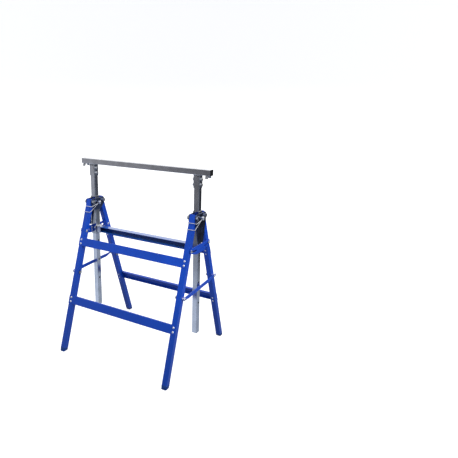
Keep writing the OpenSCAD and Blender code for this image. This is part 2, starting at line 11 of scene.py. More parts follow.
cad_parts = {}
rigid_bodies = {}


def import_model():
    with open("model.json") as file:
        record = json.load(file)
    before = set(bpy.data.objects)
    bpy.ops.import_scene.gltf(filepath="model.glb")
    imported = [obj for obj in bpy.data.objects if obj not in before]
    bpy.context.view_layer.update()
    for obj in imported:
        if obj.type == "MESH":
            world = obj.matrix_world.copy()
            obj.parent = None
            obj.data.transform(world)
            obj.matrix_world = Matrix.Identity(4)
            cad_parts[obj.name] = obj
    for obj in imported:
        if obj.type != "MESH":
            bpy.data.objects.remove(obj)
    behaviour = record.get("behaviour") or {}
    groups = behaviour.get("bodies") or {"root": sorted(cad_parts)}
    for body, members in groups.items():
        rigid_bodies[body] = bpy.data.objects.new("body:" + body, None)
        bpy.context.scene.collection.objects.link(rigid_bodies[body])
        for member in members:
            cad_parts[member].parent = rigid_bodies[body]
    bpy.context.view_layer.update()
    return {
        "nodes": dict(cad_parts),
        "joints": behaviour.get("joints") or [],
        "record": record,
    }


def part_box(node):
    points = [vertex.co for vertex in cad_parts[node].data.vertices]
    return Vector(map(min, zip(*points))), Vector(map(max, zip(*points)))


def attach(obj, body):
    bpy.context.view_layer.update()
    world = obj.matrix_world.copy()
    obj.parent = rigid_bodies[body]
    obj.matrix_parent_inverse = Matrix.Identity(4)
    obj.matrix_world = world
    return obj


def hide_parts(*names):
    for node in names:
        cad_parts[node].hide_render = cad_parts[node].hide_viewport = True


bl_info = {
    "name": "Builders Trestle",
    "version": (1, 0, 0),
    "blender": (4, 5, 0),
    "location": "View3D > Sidebar > Trestle",
    "description": "Dresses the packed builders trestle and sets its stage",
    "category": "Object",
}

for startup_object in list(bpy.data.objects):
    bpy.data.objects.remove(startup_object)

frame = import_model()

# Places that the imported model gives: the leg pivots, the feet, and each leg frame's own axes
JOINTS = {joint["name"]: joint for joint in frame["joints"]}
MOUNTS = {mount["name"]: Vector(mount["pos_m"]) for mount in frame["record"]["mounts"]}
FRONT_PIVOT = Vector(JOINTS["front_fold"]["pos_m"])
FRONT_FOOT = MOUNTS["front_right_foot"]
LEG_LEAN = math.atan2(FRONT_PIVOT.y - FRONT_FOOT.y, FRONT_PIVOT.z)
HALF_TURN = Matrix.Rotation(math.pi, 4, "Z")
FRONT_AXES = Matrix.Translation(FRONT_PIVOT) @ Matrix.Rotation(-LEG_LEAN, 4, "X")
LEG_AXES = {"front": FRONT_AXES, "rear": HALF_TURN @ FRONT_AXES}
ALONG_X = Matrix.Rotation(math.pi / 2, 4, "Y")
ENDS = ("left", "right")
SIDES = ("front", "rear")

# Points nearer than this are joined, and faces flatter than this become one
JOIN_DISTANCE = 1e-6
FLAT_WITHIN = math.radians(0.5)

# Bends past these are sharp, in the shading of built pieces and for the rounding of CAD pieces
SMOOTH_WITHIN = math.radians(32)
SHARP_EDGE = math.radians(50)

# Edges longer than this are a tube's corners, and its ends and holes get a share of their rounding
LONG_EDGE = 0.06
TUBE_END_SHARE = 0.16

# Scale of the drawn lines along X, Y and Z, on the level beam and on the upright tubes
LEVEL_LINES = (14.0, 700.0, 700.0)
UPRIGHT_LINES = (700.0, 700.0, 14.0)

# Where the rub on a tube's corners starts and is full, in halves of the tube
RUB_START, RUB_FULL = 1.86, 1.95

# Painted shade: darker copies of the zinc on the sleeves, lugs and bolts, as shares of the tube, plate
# and fastener colours
SLEEVE_PAINTED_SHADE, LUG_PAINTED_SHADE, BOLT_PAINTED_SHADE = 0.62, 0.6, 0.48

# Hexagon bolts and nuts: flats per thread radius, head per thread diameter, turned crown and its slope,
# washer face and hexagon as shares of the head, dish in the head, and blunt tip in thread pitches
FLATS_PER_RADIUS = 3.2
HEAD_PER_DIAMETER = 0.65
CROWN_SHARE, CROWN_SLOPE = 0.96, math.tan(math.radians(30))
WASHER_FACE, HEXAGON_SHARE = 0.93, 0.93
DISH_SHARE, DISH_DEPTH = 0.86, 0.02
TIP_PITCHES = 0.6

# Blind rivets: radii and lengths as shares of the head's radius, the bulb's rounded end as a share of
# the bulb's length, and the dimple's edge and bottom as shares of the head's height
RIVET_SHANK, RIVET_HEAD, RIVET_BULB = 0.526, 0.5263, 0.42
BULB_RADIUS, BULB_END_RADIUS, BULB_ROUNDING = 0.84, 0.5, 0.1
DIMPLE_RIM, DIMPLE_RADIUS = 0.34, 0.30
DIMPLE_EDGE, DIMPLE_BOTTOM = 0.20, 0.34

# Feet: corners and plug as shares of half the foot, then rounding and grooves in metres
FOOT_CORNER, SOLE_CORNER = 0.18, 0.45
PLUG_SHARE, PLUG_CORNER = 0.78, 0.14
FOOT_EDGE = 0.0009
GROOVE_START, GROOVE_STEP, GROOVE_WIDTH = 0.0030, 0.0028, 0.0012

# Places along one ripple of a weld bead, with the bead's swell there
BEAD_RIPPLE = ((0.12, 0.80), (0.45, 1.0), (0.85, 0.92))

# Width of the camera's sensor in millimetres
SENSOR_WIDTH = 36.0


# Sizes and colours that a user would change


class TrestleColours(bpy.types.PropertyGroup):
    """Colours of the trestle's finishes."""

    tube: FloatVectorProperty(
        name="Tube zinc", description="Zinc plating of the beam and posts",
        subtype="COLOR", size=3, min=0, max=1, default=(0.66, 0.67, 0.70))
    plate: FloatVectorProperty(
        name="Plate zinc", description="Duller zinc plating of the pressed plates",
        subtype="COLOR", size=3, min=0, max=1, default=(0.56, 0.58, 0.62))
    # Painted shade: the cheeks' zinc is made dark and blue, standing in for the shade and dark
    # reflections on the head's plates
    cheek: FloatVectorProperty(
        name="Cheek zinc", description="Dark blue-passivated zinc of the cheeks",
        subtype="COLOR", size=3, min=0, max=1, default=(0.13, 0.165, 0.28))
    fastener: FloatVectorProperty(
        name="Fastener zinc", description="Bright zinc plating of bolts, rivets, pins and wire",
        subtype="COLOR", size=3, min=0, max=1, default=(0.78, 0.80, 0.84))
    blue: FloatVectorProperty(
        name="Blue paint", description="Powder coat on legs, rails, stays and spreaders",
        subtype="COLOR", size=3, min=0, max=1, default=(0.006, 0.080, 0.60))
    # Painted shade: the tie bar's paint is the legs' blue made darker, standing in for the shade inside
    # its channel
    dark: FloatVectorProperty(
        name="Dark paint", description="Paint on the tie bar",
        subtype="COLOR", size=3, min=0, max=1, default=(0.010, 0.100, 0.42))
    navy: FloatVectorProperty(
        name="Foot plastic", description="Moulded plastic of the feet",
        subtype="COLOR", size=3, min=0, max=1, default=(0.006, 0.042, 0.21))
    black: FloatVectorProperty(
        name="Cap plastic", description="Moulded plastic of the beam's end caps",
        subtype="COLOR", size=3, min=0, max=1, default=(0.004, 0.004, 0.005))
    floor: FloatVectorProperty(
        name="Floor", description="Pale studio floor",
        subtype="COLOR", size=3, min=0, max=1, default=(0.60, 0.60, 0.60))


class TrestleSizes(bpy.types.PropertyGroup):
    """Sizes of the detail that the looks add to the frame."""

    tube_corner: FloatProperty(
        name="Tube corner", description="Rounding of the square tubes' corners",
        unit="LENGTH", precision=4, min=0, default=0.0019)
    sheet_edge: FloatProperty(
        name="Sheet edge", description="Rounding of the pressed plates' edges",
        unit="LENGTH", precision=4, min=0, default=0.0006)
    weld: FloatProperty(
        name="Weld bead", description="Radius of a weld bead",
        unit="LENGTH", precision=4, min=0, default=0.0022)
    weld_ripple: FloatProperty(
        name="Weld ripple", description="Distance between a bead's ripples",
        unit="LENGTH", precision=4, min=0.0005, default=0.0024)
    thread_pitch: FloatProperty(
        name="Thread pitch", description="Pitch of the bolts' threads",
        unit="LENGTH", precision=4, min=0.0005, default=0.00135)
    thread_depth: FloatProperty(
        name="Thread depth", description="Depth of the bolts' threads",
        unit="LENGTH", precision=4, min=0.0001, default=0.0006)
    foot_groove: FloatProperty(
        name="Foot groove", description="Depth of the grooves round a foot",
        unit="LENGTH", precision=4, min=0, default=0.0007)
    foot_grooves: IntProperty(
        name="Foot grooves", description="Number of grooves round a foot", min=0, default=2)


class TrestleStage(bpy.types.PropertyGroup):
    """Camera, lights and floor."""

    camera_place: FloatVectorProperty(
        name="Camera place", description="Where the camera stands",
        subtype="XYZ", unit="LENGTH", size=3, default=(1.1692, -1.6263, 1.1630))
    camera_target: FloatVectorProperty(
        name="Camera target", description="Point that the camera looks at",
        subtype="XYZ", unit="LENGTH", size=3, default=(0.2484, 0.0, 0.7236))
    lens: FloatProperty(
        name="Lens", description="Focal length in millimetres", min=10, default=35.16)
    roll: FloatProperty(
        name="Roll", description="Slight turn of the photograph's camera about its line of sight",
        subtype="ANGLE", default=math.radians(0.75))
    shift: FloatVectorProperty(
        name="Shift", description="Camera shift that the photograph's framing needs",
        size=2, default=(0.085, -0.052))
    floor_radius: FloatProperty(
        name="Floor radius", description="Radius of the flat floor", unit="LENGTH", default=5.0)
    floor_glow: FloatProperty(
        name="Floor glow", description="Light that the pale floor gives by itself",
        min=0, default=0.68)
    floor_bend: FloatProperty(
        name="Floor bend", description="Radius of the bend between the floor and the backdrop",
        unit="LENGTH", default=1.5)
    rim_height: FloatProperty(
        name="Rim height", description="Height of the backdrop that the floor runs up into",
        unit="LENGTH", default=4.0)
    key_power: FloatProperty(
        name="Key light", description="Power of the large soft light in watts", min=0, default=60)
    key_size: FloatProperty(
        name="Key size", description="Diameter of the large soft light", unit="LENGTH", default=3.0)
    key_place: FloatVectorProperty(
        name="Key place", description="Where the large soft light hangs",
        subtype="XYZ", unit="LENGTH", size=3, default=(3.4, -1.6, 2.8))
    key_target: FloatVectorProperty(
        name="Key target", description="Point that the large soft light is aimed at",
        subtype="XYZ", unit="LENGTH", size=3, default=(0.0, 0.0, 0.45))
    sky_above: FloatVectorProperty(
        name="Light above", description="Soft light from above",
        subtype="COLOR", size=3, min=0, default=(1.24, 1.25, 1.28))
    sky_level: FloatVectorProperty(
        name="Light at eye level", description="Soft light from the left",
        subtype="COLOR", size=3, min=0, default=(0.46, 0.46, 0.49))
    sky_below: FloatVectorProperty(
        name="Light below", description="Soft light that the pale floor throws back",
        subtype="COLOR", size=3, min=0, default=(0.66, 0.76, 0.95))
    sky_dark: FloatVectorProperty(
        name="Dark side", description="Dark rest of the studio at eye level",
        subtype="COLOR", size=3, min=0, default=(0.03, 0.03, 0.04))


# Shader maths


class Value:
    """A node's output that Python expressions can use; each operator adds one Math node."""

    def __init__(self, finish, socket):
        self.finish, self.socket = finish, socket

    def _math(self, operation, first, second):
        return self.finish.node("ShaderNodeMath", {"operation": operation}, {0: first, 1: second})

    def __add__(self, other):
        return self._math("ADD", self, other)

    def __sub__(self, other):
        return self._math("SUBTRACT", self, other)

    def __rsub__(self, other):
        return self._math("SUBTRACT", other, self)

    def __mul__(self, other):
        return self._math("MULTIPLY", self, other)

    __radd__ = __add__
    __rmul__ = __mul__


class Shading:
    """A tree of shader nodes whose one shader is fed by name."""

    def __init__(self, tree, shader, output):
        self.tree = tree
        tree.nodes.clear()
        self.shader = tree.nodes.new(shader)
        end = tree.nodes.new(output)
        tree.links.new(self.shader.outputs[0], end.inputs["Surface"])

    def node(self, kind, settings=None, inputs=None, output=0):
        """Adds a node, sets it up, feeds its sockets and returns one of its outputs."""
        made = self.tree.nodes.new(kind)
        for name, setting in (settings or {}).items():
            setattr(made, name, setting)
        for name, given in (inputs or {}).items():
            self._feed(made.inputs[name], given)
        return Value(self, made.outputs[output])

    def _feed(self, socket, given):
        if isinstance(given, Value):
            self.tree.links.new(given.socket, socket)
        elif hasattr(given, "__len__") and socket.type == "RGBA":
            socket.default_value = (*given, 1.0)
        else:
            socket.default_value = given

    def feed(self, **sockets):
        """Feeds the shader's own sockets, named in lower case with underscores."""
        for name, given in sockets.items():
            title = name.replace("_", " ").title().replace("Ior", "IOR")
            self._feed(self.shader.inputs[title], given)

    def noise(self, place, scale, detail=3.0, roughness=0.55):
        return self.node("ShaderNodeTexNoise", None, {
            "Vector": place, "Scale": scale, "Detail": detail, "Roughness": roughness})

    def band(self, value, low, high):
        """0 below low, 1 above high and smooth between them."""
        return self.node("ShaderNodeMapRange", {"interpolation_type": "SMOOTHSTEP"}, {
            "Value": value, "From Min": low, "From Max": high})

    def stretch(self, place, factors):
        return self.node("ShaderNodeVectorMath", {"operation": "MULTIPLY"}, {0: place, 1: factors})

    def blend(self, share, first, second):
        """Colour between first and second."""
        return self.node("ShaderNodeMix", {"data_type": "RGBA"}, {
            "Factor": share, 6: first, 7: second}, 2)

    def relief(self, height, depth, strength=1.0):
        return self.node("ShaderNodeBump", None, {
            "Strength": strength, "Distance": depth, "Height": height}, "Normal")

    def axes(self, place):
        """The three coordinates of a place."""
        split = self.node("ShaderNodeSeparateXYZ", None, {"Vector": place})
        outputs = split.socket.node.outputs
        return [Value(self, outputs[axis]) for axis in "XYZ"]

    def size_of(self, value):
        return self.node("ShaderNodeMath", {"operation": "ABSOLUTE"}, {0: value})


class Finish(Shading):
    """One procedural material."""

    def __init__(self, name):
        self.material = bpy.data.materials.new(name)
        self.material.use_nodes = True
        super().__init__(
            self.material.node_tree, "ShaderNodeBsdfPrincipled", "ShaderNodeOutputMaterial")

    def place(self):
        return self.node("ShaderNodeTexCoord", output="Object")

    def wear(self, **sockets):
        self.feed(**sockets)
        return self.material


# Finishes


def shade(colour, factor):
    """A lighter or darker version of a colour."""
    return tuple(min(1.0, channel * factor) for channel in colour)


def tube_middles():
    """Distance of the posts from the middle, and the height of the beam's middle."""
    low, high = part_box("post_right")
    beam_low, beam_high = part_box("top_beam")
    return (low.x + high.x) / 2, (beam_low.z + beam_high.z) / 2


def corner_rub(finish, across, through, half):
    """Mask that is 1 on a square tube's corners, from the two coordinates across the tube."""
    reach = finish.size_of(across) + finish.size_of(through)
    return finish.band(reach, RUB_START * half, RUB_FULL * half)


def zinc_tube_finish(name, colour, along, corners):
    """Bright zinc on drawn tube: cloudy plating, fine lines along the tube, rubbed corners."""
    stain, polished = (0.60, 0.60, 0.57), (0.80, 0.81, 0.82)
    finish = Finish(name)
    place = finish.place()
    clouds = finish.noise(place, scale=26.0, detail=4.0)
    patches = finish.noise(place, scale=7.0, detail=2.0)
    lines = finish.noise(finish.stretch(place, along), scale=1.0, detail=2.0)
    rub = corners(finish, place) * finish.band(finish.noise(place, scale=60.0, detail=4.0), 0.40, 0.62)
    plated = finish.blend(finish.band(clouds, 0.30, 0.72), shade(colour, 0.86), shade(colour, 1.06))
    tinted = finish.blend(finish.band(patches, 0.52, 0.75) * 0.5, plated, stain)
    return finish.wear(
        base_color=finish.blend(rub * 0.6, tinted, polished),
        metallic=1.0,
        roughness=0.08 + clouds * 0.10 + lines * 0.10,
        normal=finish.relief(lines + clouds * 0.4, depth=0.00003, strength=0.4))


def zinc_plate_finish(name, colour, dull):
    """Zinc on pressed plate or small hardware: mottled plating with fine scratches both ways."""
    finish = Finish(name)
    place = finish.place()
    clouds = finish.noise(place, scale=45.0, detail=4.0)
    spangle = finish.node(
        "ShaderNodeTexVoronoi", {"feature": "F1"}, {"Vector": place, "Scale": 170.0}, "Color")
    scratches = finish.noise(finish.stretch(place, (900.0, 60.0, 900.0)), scale=1.0, detail=2.0)
    scores = finish.noise(finish.stretch(place, (60.0, 900.0, 90.0)), scale=1.0, detail=2.0)
    fine = finish.band(scratches, 0.60, 0.74) + finish.band(scores, 0.60, 0.74)
    plated = finish.blend(finish.band(clouds, 0.32, 0.70), shade(colour, 0.78), shade(colour, 1.10))
    grain = finish.node("ShaderNodeRGBToBW", None, {"Color": spangle})
    return finish.wear(
        base_color=finish.blend(grain * 0.14, plated, shade(colour, 1.35)),
        metallic=1.0,
        roughness=dull + clouds * 0.18 + fine * 0.06,
        normal=finish.relief(clouds + fine * 0.3, depth=0.00005, strength=0.4))


def paint_finish(name, colour, lacquer, corners=None):
    """Glossy powder coat: orange peel, uneven colour, painted shade that darkens it towards the floor,
    dust low down, rubbed corners.
    """
    dust_colour, primer = (0.14, 0.16, 0.21), (0.16, 0.18, 0.24)
    finish = Finish(name)
    place = finish.place()
    peel = finish.noise(place, scale=520.0, detail=2.0)
    cloud = finish.noise(place, scale=9.0, detail=3.0)
    height = finish.axes(place)[2]
    near_floor = 1 - finish.band(height, 0.03, 0.22)
    dust = finish.band(finish.noise(place, scale=38.0, detail=5.0), 0.48, 0.80) * near_floor
    # Painted shade: the coat is patchily darker towards the floor, standing in for the weaker light low
    # down; the same mask makes it a little rougher there
    low_painted_shade = (1 - finish.band(height, 0.04, 0.50)) * (0.72 + cloud * 0.36)
    coat = finish.blend(finish.band(cloud, 0.3, 0.7), shade(colour, 0.90), shade(colour, 1.10))
    coat_with_low_shade = finish.blend(low_painted_shade, coat, shade(colour, 0.62))
    dusty = finish.blend(dust * 0.18, coat_with_low_shade, dust_colour)
    chips = finish.band(finish.noise(place, scale=240.0, detail=3.0), 0.66, 0.70)
    if corners:
        chips = chips * corners(finish, place)
    else:
        chips = chips * finish.band(finish.noise(place, scale=14.0, detail=2.0), 0.66, 0.72)
    return finish.wear(
        base_color=finish.blend(chips * 0.7, dusty, primer),
        metallic=0.0,
        roughness=0.26 + cloud * 0.08 + low_painted_shade * 0.06 + dust * 0.25 + chips * 0.15,
        specular_ior_level=0.4,
        coat_weight=lacquer,
        coat_roughness=0.10,
        normal=finish.relief(peel, depth=0.00006, strength=0.35))


def plastic_finish(name, colour, gloss):
    """Moulded plastic: fine spark-eroded grain, flow clouds and scuffed high spots."""
    finish = Finish(name)
    place = finish.place()
    grain = finish.noise(place, scale=1500.0, detail=2.0)
    flow = finish.noise(place, scale=60.0, detail=3.0)
    scuff = finish.band(finish.noise(place, scale=210.0, detail=5.0), 0.60, 0.72)
    body = finish.blend(finish.band(flow, 0.3, 0.7), shade(colour, 0.85), shade(colour, 1.2))
    return finish.wear(
        base_color=finish.blend(scuff * 0.30, body, shade(colour, 3.0)),
        roughness=gloss + grain * 0.12 + scuff * 0.15,
        specular_ior_level=0.3,
        normal=finish.relief(grain, depth=0.00006, strength=0.5))


def fastener_zinc(context, name="zinc_fastener_bright", shading=1.0):
    """The bright zinc that rivets, pins and wire share."""
    if name not in bpy.data.materials:
        zinc_plate_finish(name, shade(context.scene.trestle_colours.fastener, shading), dull=0.18)
    return bpy.data.materials[name]


def shaded_bolt_zinc(context):
    """A darker copy of the fastener zinc, painted shade on the hexagon bolts, nuts and washers."""
    return fastener_zinc(context, "zinc_fastener_painted_shade", BOLT_PAINTED_SHADE)


def post_corners(finish, place):
    """Corners of both posts' tubes."""
    low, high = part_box("post_right")
    x, y, _ = finish.axes(place)
    return corner_rub(finish, finish.size_of(x) - tube_middles()[0], y, (high.x - low.x) / 2)


def beam_corners(finish, place):
    """Corners of the beam's tube."""
    low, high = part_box("top_beam")
    _, y, z = finish.axes(place)
    return corner_rub(finish, y, z - tube_middles()[1], (high.y - low.y) / 2)


def leg_corners(finish, place):
    """Corners of the four legs, which lean the same way off the middle plane."""
    low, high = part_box("front_leg_right")
    x, y, z = finish.axes(place)
    outward = finish.size_of(y) + FRONT_PIVOT.y
    square = outward * math.cos(LEG_LEAN) + (z - FRONT_PIVOT.z) * math.sin(LEG_LEAN)
    return corner_rub(
        finish, finish.size_of(x) - tube_middles()[0], square, (high.x - low.x) / 2)


# Mesh building


def solids(node, axes=Matrix.Identity(4)):
    """Lowest and highest corner of each separate solid of a CAD node, along the given axes."""
    joined = bmesh.new()
    joined.from_mesh(frame["nodes"][node].data)
    bmesh.ops.remove_doubles(joined, verts=joined.verts, dist=JOIN_DISTANCE)
    to_axes = axes.inverted()
    waiting, boxes = set(joined.verts), []
    while waiting:
        reached = [waiting.pop()]
        for vert in reached:
            for edge in vert.link_edges:
                other = edge.other_vert(vert)
                if other in waiting:
                    waiting.remove(other)
                    reached.append(other)
        places = [to_axes @ vert.co for vert in reached]
        boxes.append((
            Vector(min(place[axis] for place in places) for axis in range(3)),
            Vector(max(place[axis] for place in places) for axis in range(3))))
    joined.free()
    return sorted(boxes, key=lambda box: tuple(box[0]))


def loft(bm, axes, rings, sides=48):
    """Skins rings round the axes' Z; a ring is (radius, height), or gives them for an angle."""
    skins = []
    for ring in rings:
        points = []
        for step in range(sides):
            angle = 2 * math.pi * step / sides
            radius, height = ring(angle) if callable(ring) else ring
            points.append(Vector((radius * math.cos(angle), radius * math.sin(angle), height)))
            if radius == 0:
                break
        skins.append([bm.verts.new(axes @ point) for point in points])
    for low, high in zip(skins, skins[1:]):
        for step in range(sides):
            corners = [
                low[step % len(low)], low[(step + 1) % len(low)],
                high[(step + 1) % len(high)], high[step % len(high)]]
            unique = list(dict.fromkeys(corners))
            if len(unique) > 2:
                bm.faces.new(unique)


def hexagon(flats):
    """Radius of a hexagon with the given distance across flats, as a function of the angle."""
    def radius(angle):
        return flats / 2 / math.cos((angle + math.pi / 6) % (math.pi / 3) - math.pi / 6)
    return radius


def hex_rings(flats, low, high, chamfer_low=False):
    """Rings of a hexagon whose corners are turned down at the top, and at the bottom if asked."""
    outline, crown = hexagon(flats), CROWN_SHARE * flats / 2

    def square(angle):
        return outline(angle), low

    def turned_down(end, sense):
        return lambda angle: (outline(angle), end - sense * (outline(angle) - crown) * CROWN_SLOPE)

    start = [(crown, low), turned_down(low, -1)] if chamfer_low else [square]
    return [*start, turned_down(high, 1), (crown, high)]


def thread_rings(radius, low, high, pitch, depth):
    """Rings of a threaded shank, its thread running out at the end."""
    steps_per_turn, run_out = 6, 1 / 6
    count = max(2, round((high - low) / pitch * steps_per_turn))

    def ring(height, share):
        def groove(angle):
            phase = ((height - low) / pitch - angle / (2 * math.pi)) % 1.0
            fade = min(1.0, share / run_out, (1 - share) / run_out)
            return radius - depth * fade * (1 - abs(2 * phase - 1)), height
        return groove
    return [ring(low + (high - low) * step / count, step / count) for step in range(count + 1)]


def domed(radius, low, height, steps=6):
    """Rings of a low domed head that closes at its top."""
    sphere = (radius * radius + height * height) / (2 * height)
    swing = math.asin(radius / sphere)
    return [
        (sphere * math.sin(swing * (1 - step / steps)) if step < steps else 0,
         low + height - sphere + sphere * math.cos(swing * (1 - step / steps)))
        for step in range(steps + 1)]


def rounded_square(half, corner):
    """Radius of a square with rounded corners, as a function of the angle."""
    def radius(angle):
        turn = abs((angle + math.pi / 4) % (math.pi / 2) - math.pi / 4)
        flat = half / math.cos(turn)
        if flat * math.sin(turn) <= half - corner:
            return flat
        middle = (half - corner) * math.sqrt(2)
        swing = math.pi / 4 - turn
        return middle * math.cos(swing) + math.sqrt(corner ** 2 - (middle * math.sin(swing)) ** 2)
    return radius


def bead(bm, start, end, sizes):
    """Weld bead from start to end, with one ripple after another and rounded ends."""
    start, end = Vector(start), Vector(end)
    length = (end - start).length
    ripples = max(3, round(length / sizes.weld_ripple))
    axes = Matrix.Translation(start) @ (end - start).to_track_quat("Z", "Y").to_matrix().to_4x4()
    rings = [(0, 0)]
    for step in range(ripples):
        for share, swell in BEAD_RIPPLE:
            rings.append((sizes.weld * swell, length * (step + share) / ripples))
    loft(bm, axes, [*rings, (0, length)], sides=14)


def add_piece(name, bm, body, material, replaced=()):
    """Turns a bmesh into a piece of the trestle that rides on a body."""
    bmesh.ops.recalc_face_normals(bm, faces=bm.faces)
    mesh = bpy.data.meshes.new(name)
    bm.to_mesh(mesh)
    bm.free()
    mesh.materials.append(material)
    mesh.shade_smooth()
    mesh.set_sharp_from_angle(angle=SMOOTH_WITHIN)
    piece = bpy.data.objects.new(name, mesh)
    bpy.context.scene.collection.objects.link(piece)
    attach(piece, body)
    if replaced:
        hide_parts(*replaced)
    return piece


def corner_joiner():
    """Geometry nodes that join a CAD mesh's split corners and weigh a tube's edges."""
    name = "join_split_corners"
    if name in bpy.data.node_groups:
        return bpy.data.node_groups[name]
    group = bpy.data.node_groups.new(name, "GeometryNodeTree")
    for way in ("INPUT", "OUTPUT"):
        group.interface.new_socket("Geometry", in_out=way, socket_type="NodeSocketGeometry")
    start = group.nodes.new("NodeGroupInput")
    plain = group.nodes.new("GeometryNodeRemoveAttribute")
    plain.inputs["Name"].default_value = "custom_normal"
    joined = group.nodes.new("GeometryNodeMergeByDistance")
    joined.inputs["Distance"].default_value = JOIN_DISTANCE
    smooth = group.nodes.new("GeometryNodeSetShadeSmooth")
    weighed = group.nodes.new("GeometryNodeStoreNamedAttribute")
    weighed.data_type, weighed.domain = "FLOAT", "EDGE"
    weighed.inputs["Name"].default_value = "bevel_weight_edge"
    group.links.new(edge_weights(group), weighed.inputs["Value"])
    end = group.nodes.new("NodeGroupOutput")
    chain = (start, plain, joined, smooth, weighed, end)
    for before, after in zip(chain, chain[1:]):
        group.links.new(before.outputs[0], after.inputs[0])
    return group


def edge_weights(group):
    """Socket that weighs a tube's edges: 1 on its long corners, less on its ends and holes."""
    def maths(operation, *given):
        node = group.nodes.new("ShaderNodeMath")
        node.operation = operation
        for socket, value in zip(node.inputs, given):
            if isinstance(value, float):
                socket.default_value = value
            else:
                group.links.new(value, socket)
        return node.outputs[0]
    bend = group.nodes.new("GeometryNodeInputMeshEdgeAngle")
    ends = group.nodes.new("GeometryNodeInputMeshEdgeVertices")
    length = group.nodes.new("ShaderNodeVectorMath")
    length.operation = "DISTANCE"
    for socket, place in zip(length.inputs, ("Position 1", "Position 2")):
        group.links.new(ends.outputs[place], socket)
    sharp = maths("GREATER_THAN", bend.outputs["Signed Angle"], SHARP_EDGE)
    long = maths("GREATER_THAN", length.outputs["Value"], LONG_EDGE)
    return maths("MULTIPLY", sharp, maths("MAXIMUM", long, TUBE_END_SHARE))


def dress(nodes, material, rounding, chosen_by="ANGLE"):
    """Gives CAD nodes their finish and rounds their sharp edges, by weight on tubes."""
    for name in nodes:
        node = frame["nodes"][name]
        node.material_slots[0].material = material
        joiner = node.modifiers.new("join split corners", "NODES")
        joiner.node_group = corner_joiner()
        flats = node.modifiers.new("whole flat faces", "DECIMATE")
        flats.decimate_type = "DISSOLVE"
        flats.angle_limit = FLAT_WITHIN
        edges = node.modifiers.new("rounded edges", "BEVEL")
        edges.width = rounding
        edges.segments = 2
        edges.limit_method = chosen_by
        edges.angle_limit = SHARP_EDGE
        edges.loop_slide = False
        edges.use_clamp_overlap = False
        edges.harden_normals = True


def both_ends(*names):
    """Names of the nodes at the left and right end, for each kind of node."""
    return [f"{name}_{end}" for name in names for end in ENDS]


# Operators, one for each group of like pieces and one for the stage


class TRESTLE_OT_tubes(bpy.types.Operator):
    """Finish the zinc-plated beam, posts and guide sleeves"""

    bl_idname = "trestle.tubes"
    bl_label = "Zinc tubes"

    def execute(self, context):
        colours, sizes = context.scene.trestle_colours, context.scene.trestle_sizes
        beam = zinc_tube_finish("zinc_beam", colours.tube, LEVEL_LINES, beam_corners)
        post = zinc_tube_finish("zinc_post", colours.tube, UPRIGHT_LINES, post_corners)
        # Painted shade: the guide sleeves get a darker copy of the tube zinc, for the shade between the
        # legs
        sleeve = zinc_tube_finish(
            "zinc_sleeve_painted_shade", shade(colours.tube, SLEEVE_PAINTED_SHADE), UPRIGHT_LINES, post_corners)
        dress(["top_beam"], beam, sizes.tube_corner, "WEIGHT")
        dress(both_ends("post"), post, sizes.tube_corner, "WEIGHT")
        dress(both_ends("guide_sleeve"), sleeve, sizes.tube_corner, "WEIGHT")
        return {"FINISHED"}


class TRESTLE_OT_plates(bpy.types.Operator):
    """Finish the zinc-plated cheeks, tie plates, brackets, beam sockets and end lugs"""

    bl_idname = "trestle.plates"
    bl_label = "Zinc plates"

    def execute(self, context):
        colours, sizes = context.scene.trestle_colours, context.scene.trestle_sizes
        plate = zinc_plate_finish("zinc_plate", colours.plate, dull=0.16)
        # Painted shade: the cheeks' zinc is dark
        cheek = zinc_plate_finish("zinc_cheek_painted_shade", colours.cheek, dull=0.12)
        # Painted shade: the end lugs get a darker copy of the plate zinc, for the shade under the beam
        lug = zinc_plate_finish("zinc_lug_painted_shade", shade(colours.plate, LUG_PAINTED_SHADE), dull=0.20)
        dress(both_ends("tie_plate", "tie_bracket", "beam_socket"), plate, sizes.sheet_edge)
        dress(both_ends("outer_cheek", "inner_cheek"), cheek, sizes.sheet_edge)
        dress(both_ends("end_lugs"), lug, sizes.sheet_edge)
        return {"FINISHED"}


class TRESTLE_OT_painted_steel(bpy.types.Operator):
    """Finish the painted legs, rails, stays, spreaders and tie bar"""

    bl_idname = "trestle.painted_steel"
    bl_label = "Painted steel"

    def execute(self, context):
        colours, sizes = context.scene.trestle_colours, context.scene.trestle_sizes
        legs = paint_finish("blue_leg", colours.blue, lacquer=0.12, corners=leg_corners)
        sheet = paint_finish("blue_sheet", colours.blue, lacquer=0.12)
        # Painted shade: a darker blue on the tie bar
        dark = paint_finish("tie_blue_painted_shade", colours.dark, lacquer=1.0)
        dress(both_ends("front_leg", "rear_leg"), legs, sizes.tube_corner, "WEIGHT")
        rails = [f"{side}_{level}_rail" for side in SIDES for level in ("upper", "lower")]
        dress([*rails, *both_ends("stay", "spreader")], sheet, sizes.sheet_edge)
        dress(["tie_bar"], dark, sizes.sheet_edge)
        return {"FINISHED"}


